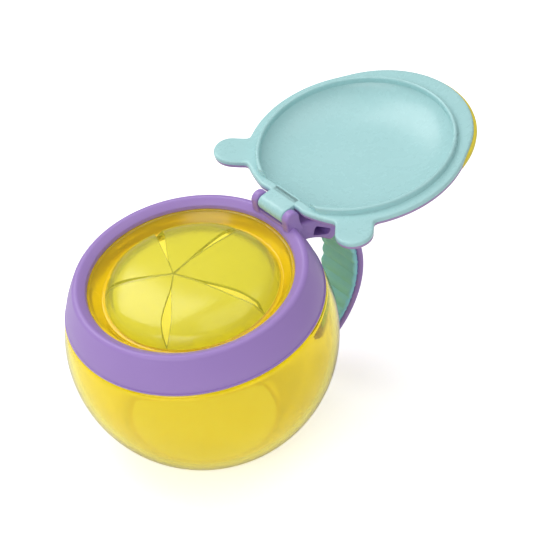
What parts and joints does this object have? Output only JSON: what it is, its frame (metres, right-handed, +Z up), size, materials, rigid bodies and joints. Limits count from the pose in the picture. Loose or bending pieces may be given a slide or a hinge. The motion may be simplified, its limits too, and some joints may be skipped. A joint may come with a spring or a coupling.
{
  "type": "toddler snack container",
  "caption": "Ball-shaped snack cup with a sloping mouth, soft slit flaps, a screw collar with a rear grip handle, and a hinged lid.",
  "frame": {"origin": "centre of the flat base, on the table", "axes": "+Z up; +Y towards the hinge and the handle; +X to the right, seen from the front"},
  "size_m": [0.0974, 0.1665, 0.099],
  "materials": {
    "cup_plastic": "glossy translucent moulded plastic",
    "insert_rubber": "soft satin translucent elastomer",
    "collar_plastic": "satin moulded plastic",
    "grip_rubber": "soft matte elastomer",
    "lid_inner_plastic": "smooth moulded plastic",
    "lid_outer_plastic": "satin moulded plastic",
    "lid_lip_plastic": "smooth moulded plastic"
  },
  "bodies": {
    "cup": {"cup": "cup_plastic"},
    "insert": {"insert_ring": "insert_rubber"},
    "collar": {"collar": "collar_plastic", "hinge_pin": "collar_plastic", "handle_frame": "collar_plastic", "handle_grip": "grip_rubber"},
    "lid": {"lid_liner": "lid_inner_plastic", "lid_shell": "lid_outer_plastic", "lid_lip": "lid_lip_plastic"},
    "flap_1": {"flap_1": "insert_rubber"},
    "flap_2": {"flap_2": "insert_rubber"},
    "flap_3": {"flap_3": "insert_rubber"},
    "flap_4": {"flap_4": "insert_rubber"},
    "flap_5": {"flap_5": "insert_rubber"}
  },
  "joints": [
    {"name": "insert_lift", "type": "slide", "parent": "cup", "child": "insert", "axis": [0, -0.1736, 0.9848], "range_m": [0, 0.01]},
    {"name": "collar_twist", "type": "hinge", "parent": "insert", "child": "collar", "pos_m": [0, 0, 0.0395], "axis": [0, -0.1736, 0.9848], "range_deg": [0, 90]},
    {"name": "lid_hinge", "type": "hinge", "parent": "collar", "child": "lid", "pos_m": [0, 0.03347, 0.0783], "axis": [1, 0, 0], "range_deg": [0, 178]},
    {"name": "flap_1_bend", "type": "hinge", "parent": "insert", "child": "flap_1", "pos_m": [0.01033, 0.01149, 0.06772], "axis": [0.8434, -0.5291, -0.0933], "range_deg": [0, 60], "stiffness_Nm_per_rad": 0.02},
    {"name": "flap_2_bend", "type": "hinge", "parent": "insert", "child": "flap_2", "pos_m": [-0.0152, 0.01214, 0.06784], "axis": [0.7431, 0.659, 0.1162], "range_deg": [0, 60], "stiffness_Nm_per_rad": 0.02},
    {"name": "flap_3_bend", "type": "hinge", "parent": "insert", "child": "flap_3", "pos_m": [-0.02187, -0.01005, 0.06393], "axis": [-0.2504, 0.9534, 0.1681], "range_deg": [0, 60], "stiffness_Nm_per_rad": 0.02},
    {"name": "flap_4_bend", "type": "hinge", "parent": "insert", "child": "flap_4", "pos_m": [-0.00123, -0.02429, 0.06141], "axis": [-0.9981, 0.0601, 0.0106], "range_deg": [0, 60], "stiffness_Nm_per_rad": 0.02},
    {"name": "flap_5_bend", "type": "hinge", "parent": "insert", "child": "flap_5", "pos_m": [0.02083, -0.01175, 0.06363], "axis": [-0.3338, -0.9283, -0.1637], "range_deg": [0, 60], "stiffness_Nm_per_rad": 0.02}
  ]
}
